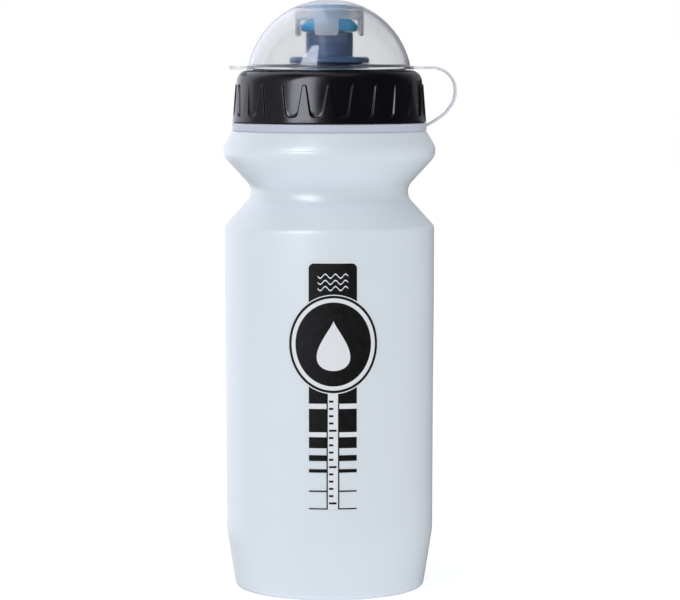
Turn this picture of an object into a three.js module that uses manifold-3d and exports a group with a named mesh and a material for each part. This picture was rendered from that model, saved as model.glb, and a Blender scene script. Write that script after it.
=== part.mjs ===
// Squeeze bottle for a bicycle cage: threaded body, screw cap with a push-pull valve, and a
// flip-over dust dome whose strap ends in a ring round the neck.
// Millimetres, +Z up. The origin is on the bottle's axis, at the level that it stands on.

import * as THREE from 'three';
import { mergeVertices } from 'three/addons/utils/BufferGeometryUtils.js';
import Module from 'manifold-3d';

const wasm = await Module();
wasm.setup();

// Driving dimensions.
const SEGMENTS = 36; // facets round the axis
const VALVE_SEGMENTS = 24; // the same, on the slim valve pieces
const ARC_TOLERANCE = 0.15; // how far a facet may leave a rounded corner's true arc
const GAP = 0.3; // clearance between pieces that touch
const OVERLAP = 0.6; // how deep shapes of one piece reach into each other before they are joined

const WALL = 1.2;
const GROOVE_Z = 139.4; // level of the finger groove
const SHOULDER_Z = 161.2;
const NECK_R = 29.0;
const MOUTH_R = 27.0;
const RIM_Z = 177.5;
const BASE_RECESS = 1.0;
const BODY_PROFILE = [ // the outside as [radius, height, rounding], from the base's middle up
  [0, BASE_RECESS],
  [25, BASE_RECESS, 1.5],
  [27.4, 0, 1.2], // the standing ring
  [33.1, 0, 1.8],
  [36.35, 20.5, 25],
  [36.45, 60, 60],
  [36.75, 105, 60], // the straight body that a bottle cage holds
  [36.75, 127.4, 2.2],
  [25.8, GROOVE_Z, 5],
  [38.3, 153.1, 5], // the bulge
  [33.6, SHOULDER_Z, 2.5],
  [NECK_R, SHOULDER_Z, 0.6],
  [NECK_R, RIM_Z, 0.4],
];

const PITCH = 4.0; // rise of the cap for one turn
const THREAD_R = 30.3;
const THREAD_START_Z = 167.4;
const THREAD_TURNS = 1.5;
const THREAD_TIP = 0.5; // half of the ridge's width at its crest
const THREAD_ROOT = 0.9; // half of the ridge's width at its foot
const THREAD_RUN_OUT = 0.08; // share of the ridge's length that fades out at each end
const THREAD_END = 0.15; // share of its height that is left at the very end

const CAP_FOOT_Z = 163.6;
const CAP_INNER_R = 31.0;
const CAP_CEILING_Z = 179.4;
const CAP_TOP_Z = 181.8;
const CAP_TOP_ROUND = 4;
const CAP_CROWN_Z = 183.9; // top of the low crown that carries the valve
const CAP_CROWN_R = 15.0;
const CAP_STEP_R = 26.9; // foot of the small step that the dome's rim fits round
const CAP_STEP_TOP_R = 26.3;
const CAP_STEP_Z = 182.9;
const CAP_DISH_R = 21.0; // where the ceiling starts to rise towards the valve's hole
const CAP_FOOT_R = 33.9;
const CAP_GRIP_TOP_R = 32.9;
const GRIP_DEPTH = 0.7;
const GRIP_COUNT = 24;
const GRIP_VALLEY_Z = 165.9;
const GRIP_VALLEY_FLAT = 0.5; // half of the level part between two fingers
const GRIP_VALLEY_ROUND = 1.7;
const GRIP_TIP_Z = 176.9;
const GRIP_TIP_ROUND = 0.75;
const GRIP_LEAN = 1.4; // steepness of a finger's side, in radians from level
const GASKET_INNER_R = 25.8;

const VALVE_HOLE_R = 11.8;
const VALVE_HOLE_DEPTH = 2.0;
const FLANGE_R = 14.0;
const FLANGE_Z = CAP_CROWN_Z + GAP;
const FLANGE_TOP_Z = 186.4;
const BARREL_BEAD = 0.9; // how far the bead that snaps under the cap stands out
const BARREL_BEAD_Z = 180.6;
const BARREL_BEAD_TOP_Z = 181.3;
const WELL_R = 8.5;
const WELL_FLOOR_Z = 174.2;
const WELL_FLOOR = 1.6; // its thickness
const SPOUT_R = 6.0;
const SPOUT_BORE_R = 4.4;
const SPOUT_TOP_Z = 187.2;
const SEAL_R = 0.45; // half thickness of the valve's O-ring
const SEAL_Z = 184.0;
const SEAL_GROOVE = 0.9;
const POST_R = 2.1;
const POST_TOP_Z = 197.2;
const WEB_WIDTH = 1.0;
const WEB_HEIGHT = 5.0;

// The stem stands pulled up, and pushes down by its travel to shut the nozzle on the post.
const VALVE_TRAVEL = 6.0;
const STEM_R = 8.2;
const STEM_BORE_R = 6.6;
const STEM_BORE_Z = 193.6; // where the bore over the spout ends
const STEM_SHOULDER_Z = 194.9;
const STEM_NECK_R = 5.4;
const STEM_NECK_Z = 201.6;
const CHAMBER_R = 3.6;
const CHAMBER_Z = 194.5;
const CHAMBER_TOP_Z = 197.0;
const NOZZLE_R = 2.4;
const NOZZLE_Z = 198.0;
const TIP_R = 10.0;
const TIP_WIDEST_Z = 197.4;
const TIP_NECK_R = 6.6;
const TIP_NECK_Z = 200.3;
const TIP_TOP_R = 5.95;
const TIP_TOP_Z = 204.2;
const TIP_BORE_R = 2.6;

const DOME_R = 28.8;
const DOME_CENTRE_Z = 177.7;
const DOME_WALL = 1.1;
const RIM_PLATE = 1.1; // thickness of the dome's rim, its strap and the neck ring
const DOME_RIM_Z = CAP_TOP_Z + GAP;
const DOME_RIM_R = 29.8;
const DOME_RIM_INNER_R = 27.4;
const THUMB_TAB_X = 35.0;
const THUMB_TAB_WIDTH = 15.0;
const THUMB_TAB_ROUND = 3.0;
const STRAP_WIDTH = 9.0;
const HINGE_X = 33.5;
const CLIP_OUTER_R = 12.0;
const CLIP_INNER_R = 10.9;
const CLIP_WIDTH = 8.4;
const CLIP_TURN = THREE.MathUtils.degToRad(-5); // how far the clips are turned off the strap's line
const CLIP_FOOT_Z = 193.7;
const CLIP_COLLAR_Z = 199.3; // top of the windows between the clips
const RING_Z = 161.9;
const RING_OUTER_R = 34.0;
const RING_INNER_R = 31.0;
const STRAP_ROUTE = [ // the strap's middle line between the hinge and the ring, as [x, z]
  [37.6, 182.55],
  [41.4, 180.7],
  [43.7, 177.2],
  [43.8, 172.2],
  [41.2, 167.6],
  [37.4, 164.5],
];

// An outline is a list of corners [r, z, rounding radius]; the rounding becomes an arc.
function roundedOutline(corners, closed = true) {
  const points = [];
  const count = corners.length;
  corners.forEach(([x, y, radius = 0], i) => {
    const corner = new THREE.Vector2(x, y);
    const atEnd = !closed && (i === 0 || i === count - 1);
    if (!radius || atEnd) {
      points.push(corner);
      return;
    }
    const before = new THREE.Vector2(...corners[(i + count - 1) % count]).sub(corner).normalize();
    const after = new THREE.Vector2(...corners[(i + 1) % count]).sub(corner).normalize();
    const half = Math.acos(THREE.MathUtils.clamp(before.dot(after), -1, 1)) / 2;
    const bisector = before.clone().add(after).normalize();
    const centre = corner.clone().addScaledVector(bisector, radius / Math.sin(half));
    const first = corner.clone().addScaledVector(before, radius / Math.tan(half)).sub(centre);
    const last = corner.clone().addScaledVector(after, radius / Math.tan(half)).sub(centre);
    const sweep = Math.atan2(first.cross(last), first.dot(last));
    const facet = 2 * Math.acos(1 - Math.min(ARC_TOLERANCE / radius, 1));
    const steps = Math.ceil(Math.abs(sweep) / facet);
    for (let step = 0; step <= steps; step += 1) {
      const spoke = first.clone().rotateAround(new THREE.Vector2(), (sweep * step) / steps);
      points.push(spoke.add(centre));
    }
  });
  return points;
}

// Moves an open outline sideways by a distance, to its left when followed from start to end.
function insetOutline(corners, distance) {
  const directions = corners.slice(1).map(([x, y], i) => (
    new THREE.Vector2(x - corners[i][0], y - corners[i][1]).normalize()
  ));
  return corners.map(([x, y, radius = 0], i) => {
    const arriving = directions[Math.max(i - 1, 0)];
    const leaving = directions[Math.min(i, directions.length - 1)];
    const normal = new THREE.Vector2(-arriving.y - leaving.y, arriving.x + leaving.x).normalize();
    const reach = distance / normal.dot(new THREE.Vector2(-arriving.y, arriving.x));
    const turnsLeft = arriving.cross(leaving) > 0;
    const inset = turnsLeft ? radius - distance : radius + distance;
    return [x + normal.x * reach, y + normal.y * reach, radius ? Math.max(inset, 0.2) : 0];
  });
}

// Keeps only positions, merges shared vertices and makes the faces point outwards.
function closedBody(geometry) {
  const bare = geometry.clone();
  bare.deleteAttribute('normal');
  bare.deleteAttribute('uv');
  const merged = mergeVertices(bare, 1e-4);
  const corners = merged.index.array;
  const at = merged.attributes.position;
  const kept = [];
  let volume = 0;
  const [a, b, c] = [new THREE.Vector3(), new THREE.Vector3(), new THREE.Vector3()];
  for (let i = 0; i < corners.length; i += 3) {
    const [p, q, r] = corners.slice(i, i + 3);
    if (p !== q && q !== r && r !== p) {
      kept.push(p, q, r);
      a.fromBufferAttribute(at, p);
      b.fromBufferAttribute(at, q);
      c.fromBufferAttribute(at, r);
      volume += a.dot(b.cross(c));
    }
  }
  if (volume < 0) {
    kept.reverse();
  }
  merged.setIndex(kept);
  return merged;
}

function toSolid(geometry) {
  const body = closedBody(geometry);
  return new wasm.Manifold(new wasm.Mesh({
    numProp: 3,
    vertProperties: new Float32Array(body.attributes.position.array),
    triVerts: new Uint32Array(body.index.array),
  }));
}

function toGeometry(solid) {
  const { vertProperties, triVerts } = solid.getMesh();
  const geometry = new THREE.BufferGeometry();
  geometry.setAttribute('position', new THREE.BufferAttribute(new Float32Array(vertProperties), 3));
  geometry.setIndex(new THREE.BufferAttribute(new Uint32Array(triVerts), 1));
  geometry.computeVertexNormals();
  return geometry;
}

const join = (first, ...others) => others.reduce((sum, part) => sum.add(part), first);
const cut = (first, ...others) => others.reduce((rest, part) => rest.subtract(part), first);

// Turns an outline of (radius, height) points round the Z axis.
function turned(points, segments = SEGMENTS) {
  return new THREE.LatheGeometry(points, segments).rotateX(Math.PI / 2);
}

function turnedRing(corners, segments = SEGMENTS) {
  const points = roundedOutline(corners);
  return turned([...points, points[0]], segments);
}

// A plate with its outline in X and Y, from one height to another.
function plate(points, bottom, top) {
  const geometry = new THREE.ExtrudeGeometry(new THREE.Shape(points), {
    depth: top - bottom,
    bevelEnabled: false,
  });
  return geometry.translate(0, 0, bottom);
}

// A ridge of a screw thread: a trapezium swept along a helix, with both ends run out to nothing.
function threadRidge(footR, crestR, startZ) {
  const steps = Math.round(SEGMENTS * THREAD_TURNS);
  const rows = [];
  for (let step = 0; step <= steps; step += 1) {
    const along = step / steps;
    const angle = 2 * Math.PI * THREAD_TURNS * along;
    const z = startZ + PITCH * THREAD_TURNS * along;
    const full = Math.min(1, along / THREAD_RUN_OUT, (1 - along) / THREAD_RUN_OUT);
    const crest = footR + (crestR - footR) * Math.max(full, THREAD_END);
    const section = [[footR, -THREAD_ROOT], [crest, -THREAD_TIP], [crest, THREAD_TIP], [footR, THREAD_ROOT]];
    rows.push(section.map(([r, dz]) => [r * Math.cos(angle), r * Math.sin(angle), z + dz]));
  }
  const geometry = new THREE.BufferGeometry();
  geometry.setAttribute('position', new THREE.Float32BufferAttribute(rows.flat(2), 3));
  const faces = [];
  for (let row = 0; row < steps; row += 1) {
    for (let side = 0; side < 4; side += 1) {
      const here = row * 4 + side;
      const beside = row * 4 + ((side + 1) % 4);
      faces.push(here, beside, beside + 4, here, beside + 4, here + 4);
    }
  }
  const end = steps * 4;
  faces.push(0, 2, 1, 0, 3, 2, end, end + 1, end + 2, end, end + 2, end + 3);
  geometry.setIndex(faces);
  return geometry;
}

// Bottle body: soft, thin-walled, with a finger groove, a bulge above it and a threaded neck.
function bottleBody() {
  const inside = insetOutline(BODY_PROFILE.slice(0, -1), WALL);
  inside[0] = [0, BASE_RECESS + WALL];
  inside.pop();
  inside.push([MOUTH_R, SHOULDER_Z - WALL, 1.5], [MOUTH_R, RIM_Z, 0.4]);
  const corners = [...BODY_PROFILE, ...inside.reverse()];
  const shell = toSolid(turned(roundedOutline(corners, false)));
  const ridge = toSolid(threadRidge(NECK_R - OVERLAP, THREAD_R, THREAD_START_Z));
  return toGeometry(join(shell, ridge));
}

// The ring of raised fingers round the cap. Its top edge rises and falls once for each finger.
function gripRing() {
  const taper = (CAP_FOOT_R - CAP_GRIP_TOP_R) / (GRIP_TIP_Z - CAP_FOOT_Z);
  const innerR = CAP_GRIP_TOP_R - GRIP_DEPTH - OVERLAP;
  const halfPitch = (Math.PI * CAP_GRIP_TOP_R) / GRIP_COUNT;
  const bends = [0, GRIP_LEAN / 2, GRIP_LEAN];
  const valley = bends.map((bend) => [
    GRIP_VALLEY_FLAT + GRIP_VALLEY_ROUND * Math.sin(bend),
    GRIP_VALLEY_Z + GRIP_VALLEY_ROUND * (1 - Math.cos(bend)),
  ]);
  const tip = bends.map((bend) => [
    halfPitch - GRIP_TIP_ROUND * Math.sin(GRIP_LEAN - bend),
    GRIP_TIP_Z - GRIP_TIP_ROUND * (1 - Math.cos(GRIP_LEAN - bend)),
  ]);
  const halfEdge = [[0, GRIP_VALLEY_Z], ...valley, ...tip];
  const mirrored = halfEdge.slice(1, -1).reverse().map(([x, z]) => [2 * halfPitch - x, z]);
  const rows = [];
  for (let finger = 0; finger < GRIP_COUNT; finger += 1) {
    [...halfEdge, ...mirrored].forEach(([x, z]) => {
      const angle = ((finger + 0.5 + x / (2 * halfPitch)) * 2 * Math.PI) / GRIP_COUNT;
      const outerR = CAP_FOOT_R - taper * (z - CAP_FOOT_Z);
      const section = [[innerR, CAP_FOOT_Z], [CAP_FOOT_R, CAP_FOOT_Z], [outerR, z], [innerR, z]];
      rows.push(section.map(([r, height]) => [r * Math.cos(angle), r * Math.sin(angle), height]));
    });
  }
  const faces = [];
  rows.forEach((_, row) => {
    const next = (row + 1) % rows.length;
    for (let side = 0; side < 4; side += 1) {
      const turn = (side + 1) % 4;
      faces.push(row * 4 + side, next * 4 + side, next * 4 + turn);
      faces.push(row * 4 + side, next * 4 + turn, row * 4 + turn);
    }
  });
  const geometry = new THREE.BufferGeometry();
  geometry.setAttribute('position', new THREE.Float32BufferAttribute(rows.flat(2), 3));
  geometry.setIndex(faces);
  return geometry;
}

function screwCap() {
  const core = toSolid(turnedRing([
    [CAP_INNER_R, CAP_FOOT_Z, 0.3],
    [CAP_FOOT_R - GRIP_DEPTH, CAP_FOOT_Z],
    [CAP_GRIP_TOP_R - GRIP_DEPTH, CAP_TOP_Z, CAP_TOP_ROUND],
    [CAP_STEP_R, CAP_TOP_Z],
    [CAP_STEP_TOP_R, CAP_STEP_Z, 0.8],
    [CAP_CROWN_R, CAP_CROWN_Z, 6],
    [VALVE_HOLE_R, CAP_CROWN_Z],
    [VALVE_HOLE_R, CAP_CROWN_Z - VALVE_HOLE_DEPTH],
    [CAP_DISH_R, CAP_CEILING_Z, 2],
    [CAP_INNER_R, CAP_CEILING_Z, 0.6],
  ]));
  // A quarter turn on from the body's ridge, and half a pitch above it.
  const startZ = THREAD_START_Z + PITCH / 4 + PITCH / 2;
  const ridge = threadRidge(CAP_INNER_R + OVERLAP, NECK_R + GAP, startZ).rotateZ(Math.PI / 2);
  return toGeometry(join(core, toSolid(gripRing()), toSolid(ridge)));
}

function capGasket() {
  return turnedRing([
    [GASKET_INNER_R, RIM_Z + GAP],
    [CAP_INNER_R - GAP, RIM_Z + GAP],
    [CAP_INNER_R - GAP, CAP_CEILING_Z - GAP],
    [GASKET_INNER_R, CAP_CEILING_Z - GAP],
  ]);
}

// Flange, barrel and spout in one moulding, with a stopper post held in the bore by three webs.
function valveBase() {
  const barrelR = VALVE_HOLE_R - GAP;
  const footZ = WELL_FLOOR_Z - WELL_FLOOR;
  const grooveHalf = SEAL_R + GAP;
  const shell = toSolid(turnedRing([
    [SPOUT_BORE_R, footZ],
    [barrelR, footZ, 0.8],
    [barrelR, BARREL_BEAD_Z - BARREL_BEAD],
    [barrelR + BARREL_BEAD, BARREL_BEAD_Z],
    [barrelR + BARREL_BEAD, BARREL_BEAD_TOP_Z],
    [barrelR, BARREL_BEAD_TOP_Z + GAP],
    [barrelR, FLANGE_Z],
    [FLANGE_R, FLANGE_Z, 0.5],
    [FLANGE_R, FLANGE_TOP_Z, 1.1],
    [WELL_R, FLANGE_TOP_Z, 0.3],
    [WELL_R, WELL_FLOOR_Z],
    [SPOUT_R, WELL_FLOOR_Z],
    [SPOUT_R, SEAL_Z - grooveHalf],
    [SPOUT_R - SEAL_GROOVE, SEAL_Z - grooveHalf],
    [SPOUT_R - SEAL_GROOVE, SEAL_Z + grooveHalf],
    [SPOUT_R, SEAL_Z + grooveHalf],
    [SPOUT_R, SPOUT_TOP_Z, 0.4],
    [SPOUT_BORE_R, SPOUT_TOP_Z],
  ], VALVE_SEGMENTS));
  const post = toSolid(turned(roundedOutline([
    [0, footZ],
    [POST_R, footZ],
    [POST_R, POST_TOP_Z, 0.6],
    [0, POST_TOP_Z],
  ], false), VALVE_SEGMENTS / 2));
  const webs = [0, 1, 2].map((index) => {
    const web = new THREE.BoxGeometry(SPOUT_BORE_R, WEB_WIDTH, WEB_HEIGHT);
    web.translate((SPOUT_BORE_R + WEB_WIDTH) / 2, 0, footZ + WEB_HEIGHT / 2);
    return toSolid(web.rotateZ((index * 2 * Math.PI) / 3));
  });
  return toGeometry(join(shell, post, ...webs));
}

function valveSeal() {
  const grooveR = SPOUT_R - SEAL_GROOVE;
  const ring = new THREE.TorusGeometry(grooveR + GAP + SEAL_R, SEAL_R, 6, VALVE_SEGMENTS);
  return ring.translate(0, 0, SEAL_Z);
}

// The sliding stem, with a narrower neck on top that carries the bite tip.
function valveStem() {
  const footZ = WELL_FLOOR_Z + VALVE_TRAVEL + GAP;
  return turnedRing([
    [STEM_BORE_R, footZ, 0.3],
    [STEM_R, footZ, 0.3],
    [STEM_R, STEM_SHOULDER_Z, 0.3],
    [STEM_NECK_R, STEM_SHOULDER_Z, 0.3],
    [STEM_NECK_R, STEM_NECK_Z, 0.4],
    [NOZZLE_R, STEM_NECK_Z],
    [NOZZLE_R, NOZZLE_Z],
    [CHAMBER_R, CHAMBER_TOP_Z],
    [CHAMBER_R, CHAMBER_Z],
    [STEM_BORE_R, STEM_BORE_Z],
  ], VALVE_SEGMENTS);
}

function biteTip() {
  return turnedRing([
    [STEM_NECK_R + GAP, STEM_SHOULDER_Z + GAP],
    [TIP_R - 0.35, STEM_SHOULDER_Z + GAP, 1.0],
    [TIP_R, TIP_WIDEST_Z, 1.3],
    [TIP_NECK_R, TIP_NECK_Z, 2.5],
    [TIP_TOP_R, TIP_TOP_Z, 0.8],
    [TIP_BORE_R, TIP_TOP_Z, 0.5],
    [TIP_BORE_R, STEM_NECK_Z + GAP],
    [STEM_NECK_R + GAP, STEM_NECK_Z + GAP],
  ], VALVE_SEGMENTS);
}

function arcPoints(radius, from, to, steps) {
  return Array.from({ length: steps + 1 }, (_, step) => {
    const angle = from + ((to - from) * step) / steps;
    return new THREE.Vector2(radius * Math.cos(angle), radius * Math.sin(angle));
  });
}

// Clear dome on a flat rim, with a thumb tab, a hinge tongue and clips that grip the bite tip.
function dustDome() {
  const rimTopZ = DOME_RIM_Z + RIM_PLATE;
  const apexZ = DOME_CENTRE_Z + DOME_R;
  const skin = (radius) => {
    const start = Math.asin((DOME_RIM_Z - DOME_CENTRE_Z) / radius);
    const centre = new THREE.Vector2(0, DOME_CENTRE_Z);
    return arcPoints(radius, start, Math.PI / 2, 10).map((point) => point.add(centre));
  };
  const outside = skin(DOME_R);
  const section = [...outside, ...skin(DOME_R - DOME_WALL).reverse(), outside[0]];
  section.forEach((point) => point.setX(Math.max(point.x, 0)));
  const shell = toSolid(turned(section));
  const rim = toSolid(turnedRing([
    [DOME_RIM_INNER_R, DOME_RIM_Z],
    [DOME_RIM_R, DOME_RIM_Z, 0.3],
    [DOME_RIM_R, rimTopZ, 0.3],
    [DOME_RIM_INNER_R, rimTopZ],
  ]));
  const tabHalf = THUMB_TAB_WIDTH / 2;
  const tabRootX = DOME_RIM_INNER_R + OVERLAP;
  const tab = toSolid(plate(roundedOutline([
    [-tabRootX, -tabHalf],
    [-tabRootX, tabHalf],
    [-THUMB_TAB_X, tabHalf, THUMB_TAB_ROUND],
    [-THUMB_TAB_X, -tabHalf, THUMB_TAB_ROUND],
  ]), DOME_RIM_Z, rimTopZ));
  const tongueLength = HINGE_X - GAP / 2 - DOME_RIM_INNER_R - OVERLAP;
  const tongue = toSolid(new THREE.BoxGeometry(tongueLength, STRAP_WIDTH, RIM_PLATE)
    .translate(HINGE_X - GAP / 2 - tongueLength / 2, 0, DOME_RIM_Z + RIM_PLATE / 2));
  const inside = toSolid(new THREE.SphereGeometry(DOME_R - DOME_WALL / 2, SEGMENTS, SEGMENTS / 2)
    .translate(0, 0, DOME_CENTRE_Z));
  const collar = toSolid(turnedRing([
    [CLIP_INNER_R, CLIP_FOOT_Z],
    [CLIP_OUTER_R, CLIP_FOOT_Z, 0.3],
    [CLIP_OUTER_R, apexZ],
    [CLIP_INNER_R, apexZ],
  ])).intersect(inside);
  const windows = [0, 1, 2, 3].map((index) => {
    const depth = CLIP_COLLAR_Z - CLIP_FOOT_Z + OVERLAP;
    const corner = new THREE.BoxGeometry(CLIP_OUTER_R, CLIP_OUTER_R, depth);
    const middle = (CLIP_WIDTH + CLIP_OUTER_R) / 2;
    corner.translate(middle, middle, CLIP_COLLAR_Z - depth / 2);
    return toSolid(corner.rotateZ((index * Math.PI) / 2 + CLIP_TURN));
  });
  return toGeometry(join(shell, rim, tab, tongue, cut(collar, ...windows)));
}

// The strap leaves the hinge level, hooks outwards and returns to the neck ring.
function tetherStrap() {
  const rimMidZ = DOME_RIM_Z + RIM_PLATE / 2;
  const ringMidZ = RING_Z + RIM_PLATE / 2;
  const route = new THREE.CatmullRomCurve3([
    [HINGE_X + GAP / 2, rimMidZ],
    ...STRAP_ROUTE,
    [RING_OUTER_R + GAP, ringMidZ],
  ].map(([x, z]) => new THREE.Vector3(x, z, 0)), false, 'centripetal');
  const steps = 28;
  const sides = [1, -1].map((side) => Array.from({ length: steps + 1 }, (_, step) => {
    const at = route.getPointAt(step / steps);
    const along = route.getTangentAt(step / steps);
    const offset = (side * RIM_PLATE) / 2;
    return new THREE.Vector2(at.x - along.y * offset, at.y + along.x * offset);
  }));
  const outline = [...sides[0], ...sides[1].reverse()];
  return plate(outline, -STRAP_WIDTH / 2, STRAP_WIDTH / 2).rotateX(Math.PI / 2);
}

function neckRing() {
  return turnedRing([
    [RING_INNER_R, RING_Z, 0.3],
    [RING_OUTER_R, RING_Z, 0.3],
    [RING_OUTER_R, RING_Z + RIM_PLATE, 0.3],
    [RING_INNER_R, RING_Z + RIM_PLATE, 0.3],
  ]);
}

const plastic = (color, roughness) => new THREE.MeshStandardMaterial({ color, roughness, metalness: 0 });
const FROSTED = plastic(0xd9e2eb, 0.45);
const BLACK = plastic(0x17181c, 0.35);
const NAVY = plastic(0x3e5470, 0.35);
const SOFT_BLUE = plastic(0x4a9acb, 0.55);
const CLEAR = plastic(0xdadee2, 0.3);
const SEAL_GREY = plastic(0x9aa0a6, 0.7);

const PIECES = [
  ['bottle_body', bottleBody(), FROSTED],
  ['screw_cap', screwCap(), BLACK],
  ['cap_gasket', capGasket(), SEAL_GREY],
  ['valve_base', valveBase(), NAVY],
  ['valve_seal_ring', valveSeal(), SEAL_GREY],
  ['valve_stem', valveStem(), NAVY],
  ['bite_tip', biteTip(), SOFT_BLUE],
  ['dust_dome', dustDome(), CLEAR],
  ['tether_strap', tetherStrap(), CLEAR],
  ['neck_ring', neckRing(), CLEAR],
];

const bottle = new THREE.Group();
PIECES.forEach(([name, geometry, material]) => {
  const mesh = new THREE.Mesh(closedBody(geometry), material);
  mesh.name = name;
  bottle.add(mesh);
});

export default bottle;
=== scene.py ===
"""Bicycle squeeze bottle: fine meshes, materials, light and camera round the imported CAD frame.

Everything is in metres in the row frame: +Z up along the bottle's axis, strap on +X, print on -Y.
"""

import math

import bmesh
import bpy
import numpy as np
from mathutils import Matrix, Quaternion, Vector


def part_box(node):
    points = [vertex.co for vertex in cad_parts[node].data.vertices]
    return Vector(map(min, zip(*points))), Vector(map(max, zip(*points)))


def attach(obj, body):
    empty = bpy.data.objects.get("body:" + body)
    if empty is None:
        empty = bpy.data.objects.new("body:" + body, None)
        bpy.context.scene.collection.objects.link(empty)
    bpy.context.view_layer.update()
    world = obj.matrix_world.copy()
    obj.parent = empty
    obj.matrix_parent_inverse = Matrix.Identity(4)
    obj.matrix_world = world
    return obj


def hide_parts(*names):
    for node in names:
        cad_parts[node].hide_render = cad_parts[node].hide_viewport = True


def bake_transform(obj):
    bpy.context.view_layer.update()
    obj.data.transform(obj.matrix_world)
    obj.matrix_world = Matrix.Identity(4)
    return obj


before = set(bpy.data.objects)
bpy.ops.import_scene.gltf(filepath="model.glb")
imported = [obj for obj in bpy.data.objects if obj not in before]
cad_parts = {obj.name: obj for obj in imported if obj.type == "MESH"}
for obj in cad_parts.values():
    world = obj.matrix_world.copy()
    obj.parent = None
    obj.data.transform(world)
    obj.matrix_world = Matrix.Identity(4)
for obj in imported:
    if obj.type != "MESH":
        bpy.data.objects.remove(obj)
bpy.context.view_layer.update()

MM = 0.001
TURN = 2 * math.pi

# How bright the white room is: where it is seen, where it lights something (from its dim side and
# its bright side) and where it is mirrored (away from its bright walls, and on them).
WORLD_SEEN = 1.0
WORLD_LIGHT = (0.39, 0.88)
BRIGHT_SIDE = (-0.08, -0.99, 0)
WORLD_MIRRORED = (0.03, 1.35)
BEHIND_LEFT = (-0.643, 0.766, 0)
COOL_WHITE = (0.88, 0.9, 1.0)

# Levels and radii read from the frame.
body_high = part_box("bottle_body")[1]
cap_low, cap_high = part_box("screw_cap")
dome_low, dome_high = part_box("dust_dome")
ring_low, ring_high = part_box("neck_ring")
flange_low, flange_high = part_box("valve_base")
stem_low, stem_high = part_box("valve_stem")
tip_low, tip_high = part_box("bite_tip")
gasket_low, gasket_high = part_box("cap_gasket")
seal_low, seal_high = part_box("valve_seal_ring")
strap_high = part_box("tether_strap")[1]

# Body, in millimetres.
WALL = 1.2
BODY_R = 36.75
NECK_R = 29.0
MOUTH_R = 27.0
NECK_FOOT_Z = 163.2
RIM_Z = body_high.z / MM
SHOULDER_Z = 161.2
BASE_RECESS = 1.0
BODY_OUTSIDE = [
    [0, BASE_RECESS],
    [25, BASE_RECESS, 1.5],
    [27.4, 0, 1.2],
    [33.1, 0, 1.8],
    [36.35, 20.5, 25],
    [36.45, 60, 60],
    [BODY_R, 105, 60],
    [BODY_R, 127.4, 2.2],
    [25.8, 139.4, 5],
    [38.3, 153.1, 5],
    [33.6, SHOULDER_Z, 2.5],
    [NECK_R, SHOULDER_Z, 0.6],
]
MOULD_LINES = (151.2, 154.3)
MOULD_LINE_HALF = 0.35
MOULD_LINE_DEPTH = 0.07

# Screw thread.
PITCH = 4.0
THREAD_R = 30.3
THREAD_START_Z = 167.4
THREAD_TURNS = 1.5
THREAD_HALF = 0.9
THREAD_RUN_OUT = 0.08

# Cap.
CAP_FOOT_Z = cap_low.z / MM
CAP_FOOT_R = cap_high.x / MM
CAP_CROWN_Z = cap_high.z / MM
CAP_TOP_Z = CAP_CROWN_Z - 2.1
CAP_STEP_R = 26.9
CAP_INNER_R = 31.0
CAP_CEILING_Z = 179.4
CAP_GRIP_TOP_R = 32.9
GRIP_DEPTH = 0.7
GRIP_COUNT = 24
GRIP_VALLEY_Z = 165.9
GRIP_TIP_Z = 176.9
VALVE_HOLE_R = 11.8
GASKET_INNER_R = 25.8

# Valve.
FLANGE_R = flange_high.x / MM
FLANGE_Z = CAP_CROWN_Z + 0.3
FLANGE_TOP_Z = 186.4
SPOUT_R = 6.0
SPOUT_BORE_R = 4.4
SPOUT_TOP_Z = 187.2
POST_R = 2.1
POST_TOP_Z = flange_high.z / MM
WELL_R = 8.5
VALVE_FOOT_Z = flange_low.z / MM
WELL_FLOOR_Z = VALVE_FOOT_Z + 1.6
SNAP_BEAD = 0.9
SEAL_HALF = 0.45
STEM_R = stem_high.x / MM
STEM_BORE_R = 6.6
STEM_SHOULDER_Z = 194.9
STEM_NECK_R = 5.4
STEM_NECK_Z = stem_high.z / MM
NOZZLE_R = 2.4
NOZZLE_TOP_Z = 198.0
NOZZLE_FOOT_Z = 194.5
TIP_R = 9.85
TIP_TOP_R = 5.8
TIP_TOP_Z = tip_high.z / MM
TIP_FOOT_Z = tip_low.z / MM

# Dome, strap and ring.
DOME_R = 28.8
DOME_CENTRE_Z = 177.7
DOME_WALL = 1.1
PLATE = 1.1
DOME_RIM_Z = dome_low.z / MM
RIM_MIDDLE_Z = DOME_RIM_Z + PLATE / 2
DOME_RIM_R = dome_high.y / MM
THUMB_TAB_X = -dome_low.x / MM
THUMB_TAB_HALF = 7.5
THUMB_TAB_CORNER = 3.0
TONGUE_X = dome_high.x / MM
STRAP_HALF = strap_high.y / MM
FOLD = 1.3
STRAP_THICKNESS = 0.8
CLIP_OUTER_R = 12.0
CLIP_INNER_R = 10.9
CLIP_HALF = 4.2
CLIP_CORNER = 1.0
CLIP_TURN = math.radians(-5)
CLIP_FOOT_Z = 193.7
CLIP_COLLAR_Z = 199.3
RING_OUTER_R = ring_high.x / MM
RING_INNER_R = 31.0


# ---------------------------------------------------------------- camera and light

def make_camera():
    """A long lens at the height of the cap, aimed a little down and to the bottle's right."""
    data = bpy.data.cameras.new("camera")
    data.lens = 155.5
    data.sensor_width = 36
    data.clip_start = 0.05
    camera = bpy.data.objects.new("camera", data)
    camera.location = (3.7 * MM, -1031 * MM, 185.5 * MM)
    camera.rotation_euler = (math.radians(90 - 4.68), 0, 0)
    bpy.context.scene.collection.objects.link(camera)
    bpy.context.scene.camera = camera


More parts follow.
